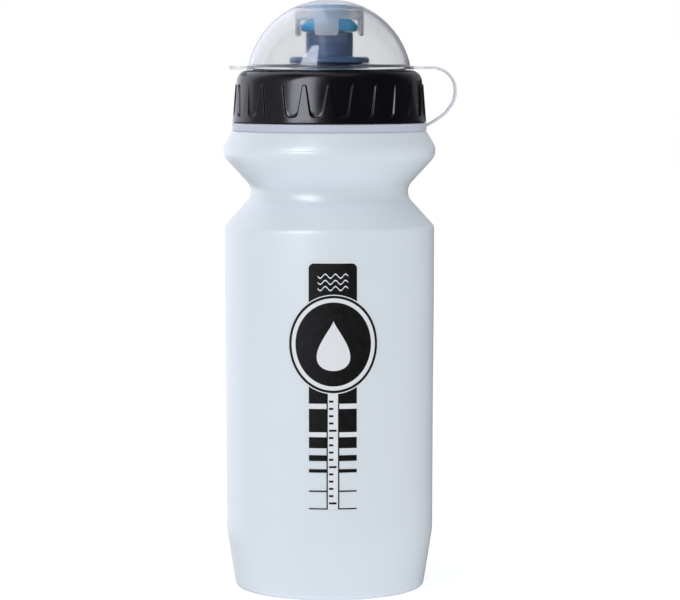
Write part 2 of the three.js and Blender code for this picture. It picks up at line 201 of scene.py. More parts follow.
def make_light(name, azimuth, height, distance, size, radiance, seen_by="both", aim=0.14, roll=0):
    """A softbox round the bottle, by its compass angle from the camera's side, to the right.

    It faces the height on the bottle's axis that is given as its aim.
    """
    data = bpy.data.lights.new(name, "AREA")
    data.shape = "RECTANGLE"
    data.size, data.size_y = size
    data.energy = radiance * math.pi * size[0] * size[1]
    light = bpy.data.objects.new(name, data)
    angle = math.radians(azimuth)
    place = Vector((distance * math.sin(angle), -distance * math.cos(angle), height))
    light.location = place
    facing = (Vector((0, 0, aim)) - place).to_track_quat("-Z", "Y")
    light.rotation_euler = (facing @ Quaternion((0, 0, 1), math.radians(roll))).to_euler()
    data.color = COOL_WHITE if seen_by == "gloss" else (1, 1, 1)
    light.visible_diffuse = seen_by != "gloss"
    light.visible_glossy = seen_by != "diffuse"
    bpy.context.scene.collection.objects.link(light)


def make_world():
    """A white room that lights most from the front, with mirrored walls at the back and the left."""
    world = bpy.data.worlds.new("studio")
    bpy.context.scene.world = world
    world.use_nodes = True
    nodes, links = world.node_tree.nodes, world.node_tree.links

    def ramp(source, start, end, first, last, smooth=False):
        node = nodes.new("ShaderNodeMapRange")
        node.interpolation_type = "SMOOTHSTEP" if smooth else "LINEAR"
        for socket, value in zip(node.inputs[1:5], (start, end, first, last)):
            socket.default_value = value
        links.new(source, node.inputs["Value"])
        return node.outputs["Result"]

    def choose(switch, normal, special):
        node = nodes.new("ShaderNodeMix")
        links.new(switch, node.inputs[0])
        for socket, value in ((node.inputs[2], normal), (node.inputs[3], special)):
            if isinstance(value, float):
                socket.default_value = value
            else:
                links.new(value, socket)
        return node.outputs[0]

    def combine(operation, first, second):
        node = nodes.new("ShaderNodeMath")
        node.operation = operation
        links.new(first, node.inputs[0])
        links.new(second, node.inputs[1])
        return node.outputs[0]

    def along(operation, vector, other=None):
        node = nodes.new("ShaderNodeVectorMath")
        node.operation = operation
        links.new(vector, node.inputs[0])
        if other:
            node.inputs[1].default_value = other
        return node.outputs["Value" if operation == "DOT_PRODUCT" else "Vector"]

    direction = nodes.new("ShaderNodeTexCoord").outputs["Generated"]
    toward = nodes.new("ShaderNodeSeparateXYZ")
    links.new(direction, toward.inputs[0])
    compass = along("NORMALIZE", along("MULTIPLY", direction, (1, 1, 0)))
    behind_left = along("DOT_PRODUCT", compass, BEHIND_LEFT)
    path = nodes.new("ShaderNodeLightPath")
    lighting = ramp(along("DOT_PRODUCT", direction, BRIGHT_SIDE), -1, 1, *WORLD_LIGHT)
    left_wall = combine("MULTIPLY", ramp(behind_left, 0.8, 0.92, 0, 1, smooth=True),
                        ramp(toward.outputs["Z"], -0.35, -0.12, 0, 1, smooth=True))
    high_wall = combine("MULTIPLY", ramp(toward.outputs["Y"], 0.3, 0.9, 0, 1, smooth=True),
                        ramp(toward.outputs["Z"], 0.02, 0.1, 0, 0.68, smooth=True))
    high_wall = combine("MULTIPLY", high_wall, ramp(toward.outputs["X"], 0.06, 0.2, 1, 0.4, smooth=True))
    left_side = ramp(toward.outputs["X"], -0.95, -0.3, 0.28, 0, smooth=True)
    walls = combine("MAXIMUM", combine("MAXIMUM", left_wall, high_wall), left_side)
    strength = choose(path.outputs["Glossy Depth"], WORLD_SEEN, ramp(walls, 0, 1, *WORLD_MIRRORED))
    strength = choose(path.outputs["Diffuse Depth"], strength, lighting)
    colour = nodes.new("ShaderNodeMix")
    colour.data_type = "RGBA"
    links.new(path.outputs["Glossy Depth"], colour.inputs[0])
    colour.inputs[6].default_value = (1, 1, 1, 1)
    colour.inputs[7].default_value = (*COOL_WHITE, 1)
    background = nodes["Background"]
    links.new(colour.outputs[2], background.inputs["Color"])
    links.new(strength, background.inputs["Strength"])


# ---------------------------------------------------------------- mesh helpers

def rounded(corners, closed=True):
    """Replaces each corner [x, y, radius] by an arc of that radius, with fine steps."""
    points = []
    count = len(corners)
    for i, corner in enumerate(corners):
        here = Vector(corner[:2])
        radius = corner[2] if len(corner) > 2 else 0
        at_end = not closed and i in (0, count - 1)
        if not radius or at_end:
            points.append(tuple(here))
            continue
        before = (Vector(corners[i - 1][:2]) - here).normalized()
        after = (Vector(corners[(i + 1) % count][:2]) - here).normalized()
        half = math.acos(max(-1, min(1, before.dot(after)))) / 2
        centre = here + (before + after).normalized() * radius / math.sin(half)
        first = here + before * radius / math.tan(half) - centre
        last = here + after * radius / math.tan(half) - centre
        sweep = math.atan2(first.x * last.y - first.y * last.x, first.dot(last))
        steps = max(3, math.ceil(abs(sweep) / 0.14))
        for step in range(steps + 1):
            angle = sweep * step / steps
            cos, sin = math.cos(angle), math.sin(angle)
            spoke = Vector((first.x * cos - first.y * sin, first.x * sin + first.y * cos))
            points.append(tuple(centre + spoke))
    return points


def inset(corners, distance):
    """Moves an open outline to its left by a distance."""
    spots = [Vector(c[:2]) for c in corners]
    ways = [(b - a).normalized() for a, b in zip(spots, spots[1:])]
    moved = []
    for i, corner in enumerate(corners):
        arriving, leaving = ways[max(i - 1, 0)], ways[min(i, len(ways) - 1)]
        normal = Vector((-arriving.y - leaving.y, arriving.x + leaving.x)).normalized()
        reach = distance / normal.dot(Vector((-arriving.y, arriving.x)))
        turns_left = arriving.x * leaving.y - arriving.y * leaving.x > 0
        radius = corner[2] if len(corner) > 2 else 0
        new_radius = max(radius - distance if turns_left else radius + distance, 0.2)
        place = spots[i] + normal * reach
        moved.append([place.x, place.y, new_radius if radius else 0])
    return moved


def resampled(points, longest):
    """Adds points so that no step of an outline is longer than the one given."""
    out = [points[0]]
    for a, b in zip(points, points[1:]):
        pieces = max(1, math.ceil(math.dist(a, b) / longest))
        for k in range(1, pieces + 1):
            out.append((a[0] + (b[0] - a[0]) * k / pieces, a[1] + (b[1] - a[1]) * k / pieces))
    return out


def finish_mesh(name, bm, sharp_angle=40):
    """Turns a bmesh in millimetres into a smooth-shaded object in metres."""
    bmesh.ops.remove_doubles(bm, verts=bm.verts, dist=1e-5)
    bmesh.ops.dissolve_degenerate(bm, dist=1e-6, edges=bm.edges)
    bmesh.ops.recalc_face_normals(bm, faces=bm.faces)
    bmesh.ops.scale(bm, vec=(MM, MM, MM), verts=bm.verts)
    mesh = bpy.data.meshes.new(name)
    bm.to_mesh(mesh)
    bm.free()
    mesh.shade_smooth()
    mesh.set_sharp_from_angle(angle=math.radians(sharp_angle))
    made = bpy.data.objects.new(name, mesh)
    bpy.context.scene.collection.objects.link(made)
    return made


def turned(name, columns, closed=True, sharp_angle=40):
    """A body of revolution from one outline of (radius, height, extra angle) for each column.

    columns is a list of (angle, outline); every outline has the same number of points.
    """
    bm = bmesh.new()
    grid = []
    for angle, outline in columns:
        row = []
        for point in outline:
            a = angle + (point[2] if len(point) > 2 else 0)
            row.append(bm.verts.new((point[0] * math.cos(a), point[0] * math.sin(a), point[1])))
        grid.append(row)
    length = len(grid[0])
    for i, row in enumerate(grid):
        beside = grid[(i + 1) % len(grid)]
        for k in range(length if closed else length - 1):
            up = (k + 1) % length
            bm.faces.new((row[k], beside[k], beside[up], row[up]))
    return finish_mesh(name, bm, sharp_angle)


def lathe(name, corners, segments=128, closed=True, longest=None):
    """A plain body of revolution from an outline of corners."""
    outline = rounded(corners, closed)
    if longest:
        outline = resampled(outline + ([outline[0]] if closed else []), longest)
        outline = outline[:-1] if closed else outline
    return turned(name, [(TURN * i / segments, outline) for i in range(segments)], closed)


def stands_for(piece, node, body, material):
    """Puts a fine piece in place of a CAD node, on its body, with its finish."""
    piece.data.materials.clear()
    piece.data.materials.append(material)
    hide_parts(node)
    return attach(piece, body)


# ---------------------------------------------------------------- materials

class Finish:
    """A Principled material with object-space noise for its small variations."""

    def __init__(self, name, **constants):
        self.material = bpy.data.materials.new(name)
        self.material.use_nodes = True
        self.nodes = self.material.node_tree.nodes
        self.links = self.material.node_tree.links
        self.shader = self.nodes["Principled BSDF"]
        for socket, value in constants.items():
            self.shader.inputs[socket.replace("_", " ")].default_value = value
        self.coordinates = self.nodes.new("ShaderNodeTexCoord").outputs["Object"]
        self.height = None

    def noise(self, scale, detail=3, roughness=0.5, stretch=(1, 1, 1)):
        mapping = self.nodes.new("ShaderNodeMapping")
        mapping.inputs["Scale"].default_value = stretch
        self.links.new(self.coordinates, mapping.inputs["Vector"])
        texture = self.nodes.new("ShaderNodeTexNoise")
        texture.inputs["Scale"].default_value = scale
        texture.inputs["Detail"].default_value = detail
        texture.inputs["Roughness"].default_value = roughness
        self.links.new(mapping.outputs["Vector"], texture.inputs["Vector"])
        return texture.outputs["Fac"]

    def spread(self, value, low, high, socket):
        """Drives a socket between two numbers by a noise."""
        span = self.nodes.new("ShaderNodeMapRange")
        span.interpolation_type = "SMOOTHSTEP"
        span.inputs["From Min"].default_value = 0.3
        span.inputs["From Max"].default_value = 0.7
        span.inputs["To Min"].default_value = low
        span.inputs["To Max"].default_value = high
        self.links.new(value, span.inputs["Value"])
        self.links.new(span.outputs["Result"], self.shader.inputs[socket])

    def polish(self, level, share):
        """Leaves only a share of the roughness above a height."""
        height = self.nodes.new("ShaderNodeSeparateXYZ")
        self.links.new(self.coordinates, height.inputs[0])
        above = self.nodes.new("ShaderNodeMapRange")
        for socket, value in zip(above.inputs[1:5], (level, level + 0.0003, 1, share)):
            socket.default_value = value
        self.links.new(height.outputs["Z"], above.inputs["Value"])
        product = self.nodes.new("ShaderNodeMath")
        product.operation = "MULTIPLY"
        roughness = self.shader.inputs["Roughness"]
        self.links.new(roughness.links[0].from_socket, product.inputs[0])
        self.links.new(above.outputs["Result"], product.inputs[1])
        self.links.new(product.outputs[0], roughness)

    def tint(self, value, low, high):
        """Drives the base colour between two colours by a noise."""
        ramp = self.nodes.new("ShaderNodeValToRGB")
        ramp.color_ramp.interpolation = "EASE"
        ramp.color_ramp.elements[0].position = 0.35
        ramp.color_ramp.elements[1].position = 0.65
        ramp.color_ramp.elements[0].color = (*low, 1)
        ramp.color_ramp.elements[1].color = (*high, 1)
        self.links.new(value, ramp.inputs["Fac"])
        self.links.new(ramp.outputs["Color"], self.shader.inputs["Base Color"])

    def bump(self, value, depth):
        """Adds a bump of a real depth in metres on top of the earlier ones."""
        node = self.nodes.new("ShaderNodeBump")
        node.inputs["Strength"].default_value = 1.0
        node.inputs["Distance"].default_value = depth
        self.links.new(value, node.inputs["Height"])
        if self.height:
            self.links.new(self.height, node.inputs["Normal"])
        self.height = node.outputs["Normal"]
        self.links.new(self.height, self.shader.inputs["Normal"])


def frosted_body():
    """Soft translucent polyethylene: cloudy wall, faint mould texture, broad sheen."""
    finish = Finish("frosted_polyethylene", Roughness=0.4, IOR=1.5, Subsurface_Weight=0.3,
                    Subsurface_Radius=(1.0, 1.0, 1.1), Subsurface_Scale=0.004, Coat_Weight=0.8,
                    Coat_Roughness=0.32)
    finish.tint(finish.noise(14, 2, stretch=(1, 1, 0.35)), (0.735, 0.815, 0.905), (0.75, 0.825, 0.915))
    finish.spread(finish.noise(60, 4), 0.36, 0.44, "Roughness")
    finish.bump(finish.noise(2600, 2), 0.000012)
    finish.bump(finish.noise(120, 2, stretch=(1, 1, 0.2)), 0.00005)
    return finish.material


def black_cap():
    """Black polypropylene with a fine spark-eroded texture and slightly polished high spots."""
    finish = Finish("black_polypropylene", IOR=1.49, Roughness=0.3)
    finish.tint(finish.noise(90, 3), (0.0024, 0.0022, 0.0036), (0.0034, 0.0031, 0.0048))
    finish.spread(finish.noise(140, 4), 0.18, 0.25, "Roughness")
    finish.polish(CAP_TOP_Z * MM, 0.4)
    finish.bump(finish.noise(3200, 2), 0.00001)
    return finish.material


def navy_valve():
    finish = Finish("navy_polypropylene", IOR=1.49, Roughness=0.3)
    finish.tint(finish.noise(160, 3), (0.067, 0.117, 0.225), (0.074, 0.126, 0.24))
    finish.spread(finish.noise(200, 3), 0.29, 0.38, "Roughness")
    finish.bump(finish.noise(2400, 2), 0.000008)
    return finish.material


def blue_tip():
    """Soft matt elastomer that lets a little light through."""
    finish = Finish("soft_blue_elastomer", IOR=1.43, Roughness=0.5, Subsurface_Weight=0.25,
                    Subsurface_Radius=(0.4, 0.8, 1.0), Subsurface_Scale=0.002)
    finish.tint(finish.noise(220, 3), (0.055, 0.38, 0.70), (0.065, 0.41, 0.74))
    finish.spread(finish.noise(260, 3), 0.42, 0.56, "Roughness")
    finish.bump(finish.noise(3000, 2), 0.000015)
    return finish.material


def clear_dome():
    """Clear polypropylene: glossy, faintly grey, with slight flow clouding."""
    finish = Finish("clear_polypropylene", IOR=1.46, Roughness=0.06, Transmission_Weight=1.0)
    finish.tint(finish.noise(70, 3), (0.875, 0.885, 0.9), (0.89, 0.9, 0.915))
    finish.spread(finish.noise(110, 3), 0.04, 0.1, "Roughness")
    finish.bump(finish.noise(160, 2), 0.00002)
    return finish.material


def milky_plastic(name, clearness, tone):
    """The dome's plastic where its mould is rough: cloudy, on clips, tabs, strap and ring."""
    finish = Finish(name, IOR=1.25, Roughness=0.35, Transmission_Weight=clearness)
    finish.tint(finish.noise(90, 3), tone, [level + 0.015 for level in tone])
    finish.spread(finish.noise(300, 3), 0.3, 0.4, "Roughness")
    finish.bump(finish.noise(1800, 2), 0.000015)
    return finish.material


def seal_rubber():
    finish = Finish("grey_seal_rubber", IOR=1.5, Roughness=0.6)
    finish.tint(finish.noise(300, 3), (0.27, 0.28, 0.3), (0.32, 0.33, 0.35))
    finish.spread(finish.noise(400, 3), 0.5, 0.7, "Roughness")
    finish.bump(finish.noise(2500, 2), 0.00001)
    return finish.material


def black_ink():
    """Screen-printed ink: near black, a little mottled where the film is thin."""
    finish = Finish("black_ink", IOR=1.4, Roughness=0.5, Specular_IOR_Level=0.3)
    finish.tint(finish.noise(500, 4), (0.006, 0.006, 0.007), (0.01, 0.01, 0.011))
    finish.spread(finish.noise(900, 3), 0.44, 0.56, "Roughness")
    return finish.material


def white_ink():
    finish = Finish("white_ink", IOR=1.5, Roughness=0.45)
    finish.tint(finish.noise(500, 4), (0.74, 0.775, 0.82), (0.76, 0.79, 0.83))
    finish.spread(finish.noise(900, 3), 0.4, 0.5, "Roughness")
    return finish.material


# ---------------------------------------------------------------- body

def thread_height(angle, z, start_z, turns, start_angle=0.0):
    """How far the thread's ridge stands at a point, from 0 to 1, with its ends run out."""
    best = 0.0
    for turn in range(-1, math.ceil(turns) + 2):
        along = ((angle - start_angle) % TURN) / TURN + turn
        share = along / turns
        if not 0 <= share <= 1:
            continue
        off = abs(z - (start_z + PITCH * along)) / THREAD_HALF
        side = min(1.0, max(0.0, (1 - off) * 2.2))
        end = min(1.0, share / THREAD_RUN_OUT, (1 - share) / THREAD_RUN_OUT)
        best = max(best, side * side * (3 - 2 * side) * end)
    return best


def on_mould_line(point, level):
    return point[0] > NECK_R and abs(point[1] - level) <= MOULD_LINE_HALF


def with_mould_lines(outline):
    """Lets a shallow groove into an outline at each of the mould's parting levels."""
    grooved = list(outline)
    for level in MOULD_LINES:
        after = next(i for i, point in enumerate(grooved) if point[1] > level and point[0] > NECK_R)
        (r0, z0), (r1, z1) = grooved[after - 1], grooved[after]
        groove = []
        for off in (-1, -0.5, 0, 0.5, 1):
            z = level + off * MOULD_LINE_HALF
            r = r0 + (r1 - r0) * (z - z0) / (z1 - z0) - MOULD_LINE_DEPTH * (1 - off * off) ** 2
            groove.append((r, z))
        below = [point for point in grooved[:after] if not on_mould_line(point, level)]
        above = [point for point in grooved[after:] if not on_mould_line(point, level)]
        grooved = below + groove + above
    return grooved


def bottle_shell(material):
    """The blown shell, inside and out, in one skin from the base's middle to the base's middle."""
    outer_corners = BODY_OUTSIDE + [[NECK_R, NECK_FOOT_Z]]
    outside = with_mould_lines(resampled(rounded(outer_corners, closed=False), 1.6))
    inner_corners = inset(outer_corners, WALL)[:-2]
    inner_corners[0] = [0, BASE_RECESS + WALL]
    inner_corners += [[MOUTH_R, SHOULDER_Z - WALL, 1.5], [MOUTH_R, NECK_FOOT_Z]]
    inside = resampled(rounded(inner_corners, closed=False), 2.5)
    lip = rounded([[NECK_R, NECK_FOOT_Z], [NECK_R, RIM_Z, 0.4], [MOUTH_R, RIM_Z, 0.4],
                   [MOUTH_R, NECK_FOOT_Z]], closed=False)[1:-1]
    neck_levels = np.linspace(NECK_FOOT_Z + 0.2, RIM_Z - 0.6, 70)
    ridge = THREAD_R - NECK_R
    segments = 240
    columns = []
    for i in range(segments):
        angle = TURN * i / segments
        neck = [(NECK_R + ridge * thread_height(angle, z, THREAD_START_Z, THREAD_TURNS), z)
                for z in neck_levels]
        columns.append((angle, outside + neck + lip + inside[::-1]))
    shell = turned("body_shell", columns, closed=False)
    return stands_for(shell, "bottle_body", "bottle", material)


def body_radius_at():
    """The body's outer radius as a function of height, for what is printed on it."""
    outline = rounded(BODY_OUTSIDE, closed=False)
    start = next(i for i, point in enumerate(outline) if point[0] > 34)
    heights = [point[1] for point in outline[start:]]
    radii = [point[0] for point in outline[start:]]
    return lambda z: float(np.interp(z, heights, radii))


# Print, in millimetres round the body from its front and up.
PRINT_S = 1.3
PANEL_HALF = 8.3
PANEL_TOP = 116.5
STRIP_HALF = 1.75
BORDER = 0.45
BADGE_S = 1.5
BADGE_Z = 88.9
BADGE_HALF = 15.45
BADGE_TALL = 16.65
BARS = [
    (105.5, 68.6), (66.8, 58.8), (57.1, 53.3), (50.9, 48.9), (46.1, 44.9), (38.75, 38.25),
    (32.65, 32.2),
]
WAVES_Z = 112.2
INK_LIFT = 0.05
INK_GRID = 0.5


def ink_patch(name, outline, holes, lift, radius_at, ink):
    """A film of ink: a flat outline with holes, gridded, then laid on the body's curve."""
    curve = bpy.data.curves.new(name, "CURVE")
    curve.dimensions = "2D"
    curve.fill_mode = "BOTH"
    for loop in [outline, *holes]:
        spline = curve.splines.new("POLY")
        spline.points.add(len(loop) - 1)
        for point, (s, z) in zip(spline.points, loop):
            point.co = (s, z, 0, 1)
        spline.use_cyclic_u = True
    flat = bpy.data.objects.new(name, curve)
    bpy.context.scene.collection.objects.link(flat)
    mesh = bpy.data.meshes.new_from_object(flat.evaluated_get(bpy.context.evaluated_depsgraph_get()))
    bpy.data.objects.remove(flat)
    bm = bmesh.new()
    bm.from_mesh(mesh)
    for axis, step in ((Vector((1, 0, 0)), INK_GRID), (Vector((0, 1, 0)), 3 * INK_GRID)):
        reach = [axis.dot(vert.co) for vert in bm.verts]
        for place in np.arange(min(reach) + step, max(reach), step):
            cut = bm.verts[:] + bm.edges[:] + bm.faces[:]
            bmesh.ops.bisect_plane(bm, geom=cut, plane_co=axis * float(place), plane_no=axis)
    for vert in bm.verts:
        s, z = vert.co.x, vert.co.y
        r = radius_at(z) + lift
        vert.co = (r * math.sin(s / BODY_R), -r * math.cos(s / BODY_R), z)
    made = finish_mesh(name, bm)
    made.data.materials.append(ink)
    return made


def badge_ellipse(half, tall, count=96):
    return [(BADGE_S + half * math.cos(TURN * i / count), BADGE_Z + tall * math.sin(TURN * i / count))
            for i in range(count)]


def box_outline(left, right, bottom, top, radius=0.0):
    corners = [[left, bottom, 0], [right, bottom, 0], [right, top, radius], [left, top, radius]]
    return rounded(corners)


# ---------------------------------------------------------------- cap

def grip_edge():
    """One period of the grip's sinuous edge: distance along, height and outward normal."""
    half_pitch = math.pi * CAP_GRIP_TOP_R / GRIP_COUNT
    flat, valley_r, tip_r, lean = 0.5, 1.7, 0.75, 1.4
    edge = [(0.0, GRIP_VALLEY_Z), (flat * 0.5, GRIP_VALLEY_Z)]
    for step in range(7):
        angle = step / 6 * lean
        edge.append((flat + valley_r * math.sin(angle),
                     GRIP_VALLEY_Z + valley_r * (1 - math.cos(angle))))
    for step in range(7):
        angle = step / 6 * lean + (math.pi / 2 - lean)
        edge.append((half_pitch - tip_r * math.cos(angle),
                     GRIP_TIP_Z - tip_r * (1 - math.sin(angle))))
    last_low, first_high = edge[8], edge[9]
    between = [(last_low[0] + (first_high[0] - last_low[0]) * k / 6,
                last_low[1] + (first_high[1] - last_low[1]) * k / 6) for k in range(1, 6)]
    edge = edge[:9] + between + edge[9:]
    mirrored = [(2 * half_pitch - s, z) for s, z in reversed(edge[1:-1])]
    period = edge + mirrored
    normals = []
    count = len(period)
    for i in range(count):
        (s0, z0), (s1, z1) = period[i - 1], period[(i + 1) % count]
        along = Vector(((s1 - s0) % (2 * half_pitch), z1 - z0)).normalized()
        normals.append((-along.y, along.x))
    return period, normals, 2 * half_pitch


def cap_shell(material):
    """The cap, column by column: foot, grip wall, recess, crown and the thread inside."""
    period, normals, pitch = grip_edge()
    taper = (CAP_FOOT_R - CAP_GRIP_TOP_R) / (GRIP_TIP_Z - CAP_FOOT_Z)
    recess_foot_r = CAP_FOOT_R - GRIP_DEPTH
    recess_top_r = CAP_GRIP_TOP_R - GRIP_DEPTH
    recess_lean = (recess_foot_r - recess_top_r) / (CAP_TOP_Z - CAP_FOOT_Z)
    crown = rounded([
        [recess_foot_r, CAP_FOOT_Z],
        [recess_top_r, CAP_TOP_Z, 4],
        [CAP_STEP_R, CAP_TOP_Z, 0.15],
        [CAP_STEP_R - 0.2, CAP_TOP_Z + 0.4, 0.3],
        [FLANGE_R + 1, CAP_CROWN_Z, 6],
        [VALVE_HOLE_R, CAP_CROWN_Z, 0.3],
        [VALVE_HOLE_R, CAP_CROWN_Z - 2, 0.3],
        [21, CAP_CEILING_Z, 2],
        [CAP_INNER_R, CAP_CEILING_Z, 0.6],
        [CAP_INNER_R, CAP_CEILING_Z - 2],
    ], closed=False)[1:-1]
    crown = resampled(crown, 1.5)
    inner_levels = np.linspace(CAP_CEILING_Z - 1, CAP_FOOT_Z + 0.7, 66)
    foot = rounded([[CAP_INNER_R, CAP_FOOT_Z + 2], [CAP_INNER_R, CAP_FOOT_Z, 0.3],
                    [CAP_FOOT_R, CAP_FOOT_Z, 0.5], [CAP_FOOT_R, CAP_FOOT_Z + 2]], closed=False)[1:-1]
    wall_steps = [-0.22, -0.17, -0.12, -0.06, 0.0, 0.06, 0.11, 0.15, 0.19]
    columns = []
    for finger in range(GRIP_COUNT):
        for (s, z), (ns, nz) in zip(period, normals):
            angle = (finger + 0.5 + s / pitch) * TURN / GRIP_COUNT
            radius = CAP_FOOT_R - taper * (z - CAP_FOOT_Z)
            outline = list(foot)
            lower = (s + ns * wall_steps[0], z + nz * wall_steps[0])
            for k in range(1, 10):
                height = CAP_FOOT_Z + 0.8 + (lower[1] - CAP_FOOT_Z - 0.8) * k / 10
                turn = ns * wall_steps[0] / radius
                outline.append((CAP_FOOT_R - taper * (height - CAP_FOOT_Z), height, turn))
            for k, step in enumerate(wall_steps):
                share = k / (len(wall_steps) - 1)
                ease = share * share * (3 - 2 * share)
                height = z + nz * step
                high_r = CAP_FOOT_R - taper * (height - CAP_FOOT_Z)
                low_r = recess_foot_r - recess_lean * (height - CAP_FOOT_Z)
                outline.append((high_r + (low_r - high_r) * ease, height, ns * step / radius))
            start = z + nz * wall_steps[-1]
            crown_start = crown[0][1]
            turn = ns * wall_steps[-1] / radius
            for k in range(1, 8):
                height = start + (crown_start - start) * k / 8
                fade = turn * (1 - k / 8)
                outline.append((recess_foot_r - recess_lean * (height - CAP_FOOT_Z), height, fade))
            outline += crown
            for level in inner_levels:
                ridge = thread_height(angle, level, THREAD_START_Z + PITCH / 2 + 1, THREAD_TURNS,
                                      math.pi / 2)
                outline.append((CAP_INNER_R - (CAP_INNER_R - NECK_R - 0.4) * ridge, level))
            columns.append((angle, outline))
    shell = turned("cap_shell", columns, closed=True, sharp_angle=60)
    return stands_for(shell, "screw_cap", "cap", material)


# ---------------------------------------------------------------- valve

def valve_flange(material):
    """Flange, barrel with its snap bead under the cap's crown, well and spout with the seal's groove."""
    barrel_r = VALVE_HOLE_R - 0.3
    seal_z = (seal_low.z + seal_high.z) / 2 / MM
    shell = lathe("valve_flange", [
        [SPOUT_BORE_R, VALVE_FOOT_Z],
        [barrel_r, VALVE_FOOT_Z, 0.8],
        [barrel_r, CAP_CEILING_Z],
        [barrel_r + SNAP_BEAD, CAP_CEILING_Z + 1.2, 0.1],
        [barrel_r + SNAP_BEAD, CAP_CEILING_Z + 1.9, 0.1],
        [barrel_r, CAP_CEILING_Z + 2.2],
        [barrel_r, FLANGE_Z],
        [FLANGE_R, FLANGE_Z, 0.5],
        [FLANGE_R, FLANGE_TOP_Z, 1.1],
        [WELL_R, FLANGE_TOP_Z, 0.3],
        [WELL_R, WELL_FLOOR_Z],
        [SPOUT_R, WELL_FLOOR_Z],
        [SPOUT_R, seal_z - 0.75],
        [SPOUT_R - 0.9, seal_z - 0.75],
        [SPOUT_R - 0.9, seal_z + 0.75],
        [SPOUT_R, seal_z + 0.75],
        [SPOUT_R, SPOUT_TOP_Z, 0.4],
        [SPOUT_BORE_R, SPOUT_TOP_Z, 0.3],
    ])
    return stands_for(shell, "valve_base", "cap", material)


def stopper_post(material):
    """The post in the spout's bore, on three webs, that the lifted nozzle draws away from."""
    outline = rounded([[0, VALVE_FOOT_Z], [POST_R, VALVE_FOOT_Z, 0.2], [POST_R, POST_TOP_Z, 0.6],
                       [0, POST_TOP_Z]], closed=False)
    bm = bmesh.new()
    for index in range(3):
        made = bmesh.ops.create_cube(bm, size=1)["verts"]
        bmesh.ops.scale(bm, vec=(SPOUT_BORE_R - 0.6, 1, 5), verts=made)
        bmesh.ops.translate(bm, vec=(SPOUT_BORE_R / 2 + 0.4, 0, VALVE_FOOT_Z + 2.6), verts=made)
        turn = TURN * index / 3
        for vert in made:
            x, y = vert.co.x, vert.co.y
            vert.co.x = x * math.cos(turn) - y * math.sin(turn)
            vert.co.y = x * math.sin(turn) + y * math.cos(turn)
    bmesh.ops.bevel(bm, geom=bm.edges[:], offset=0.15, segments=2, affect="EDGES")
    webs = finish_mesh("stopper_webs", bm)
    post = turned("stopper_post", [(TURN * i / 48, outline) for i in range(48)], closed=False)
    join = post.modifiers.new("webs", "BOOLEAN")
    join.operation = "UNION"
    join.solver = "EXACT"
    join.object = webs
    joined = bpy.data.meshes.new_from_object(
        post.evaluated_get(bpy.context.evaluated_depsgraph_get()))
    post.modifiers.clear()
    post.data = joined
    bpy.data.objects.remove(webs)
    joined.materials.clear()
    joined.materials.append(material)
    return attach(post, "cap")


def valve_seal(material):
    middle = (seal_low.z + seal_high.z) / 2 / MM
    centre = seal_high.x / MM - SEAL_HALF
    outline = [(centre + SEAL_HALF * math.cos(TURN * i / 20), middle + SEAL_HALF * math.sin(TURN * i / 20))
               for i in range(20)]
    ring = turned("seal_ring", [(TURN * i / 96, outline) for i in range(96)])
    return stands_for(ring, "valve_seal_ring", "cap", material)


def valve_stem(material):
    foot = stem_low.z / MM
    stem = lathe("sliding_stem", [
        [STEM_BORE_R, foot, 0.3],
        [STEM_R, foot, 0.3],
        [STEM_R, STEM_SHOULDER_Z, 0.35],
        [STEM_NECK_R, STEM_SHOULDER_Z, 0.3],
        [STEM_NECK_R, STEM_NECK_Z, 0.4],
        [NOZZLE_R, STEM_NECK_Z, 0.2],
        [NOZZLE_R, NOZZLE_TOP_Z, 0.3],
        [NOZZLE_R + 1.2, NOZZLE_TOP_Z - 1, 0.3],
        [NOZZLE_R + 1.2, NOZZLE_FOOT_Z, 0.3],
        [STEM_BORE_R, NOZZLE_FOOT_Z - 0.9, 0.3],
    ])
    return stands_for(stem, "valve_stem", "valve", material)


def bite_tip(material):
    tip = lathe("bite_tip_skin", [
        [STEM_NECK_R + 0.3, TIP_FOOT_Z, 0.1],
        [TIP_R - 0.2, TIP_FOOT_Z, 1.0],
        [TIP_R + 0.15, 197.4, 1.3],
        [TIP_TOP_R + 0.8, 200.3, 2.5],
        [TIP_TOP_R + 0.15, TIP_TOP_Z, 0.8],
        [NOZZLE_R + 0.2, TIP_TOP_Z, 0.5],
        [NOZZLE_R + 0.2, STEM_NECK_Z + 0.3, 0.1],
        [STEM_NECK_R + 0.3, STEM_NECK_Z + 0.3, 0.1],
    ], longest=0.8)
    return stands_for(tip, "bite_tip", "valve", material)


def cap_gasket(material):
    outer = gasket_high.x / MM
    low, high = gasket_low.z / MM, gasket_high.z / MM
    ring = lathe("gasket_ring", [[GASKET_INNER_R, low, 0.3], [outer, low, 0.3],
                                 [outer, high, 0.3], [GASKET_INNER_R, high, 0.3]])
    return stands_for(ring, "cap_gasket", "gasket", material)


# ---------------------------------------------------------------- dome, strap and ring

def rim_reach(angle):
    """Radius of the dome's rim: round, but for the thumb tab at -X and the hinge tongue at +X."""
    cos, sin = math.cos(angle), max(abs(math.sin(angle)), 1e-9)
    if cos > 0:
        return max(DOME_RIM_R, min(TONGUE_X / cos, STRAP_HALF / sin))
    tab = min(THUMB_TAB_X / -cos, THUMB_TAB_HALF / sin)
    centre_x, centre_y = THUMB_TAB_X - THUMB_TAB_CORNER, THUMB_TAB_HALF - THUMB_TAB_CORNER
    if tab * -cos > centre_x and tab * sin > centre_y:
        along = centre_x * -cos + centre_y * sin
        inside = along ** 2 - centre_x ** 2 - centre_y ** 2 + THUMB_TAB_CORNER ** 2
        tab = along + math.sqrt(max(inside, 0))
    return max(DOME_RIM_R, tab)


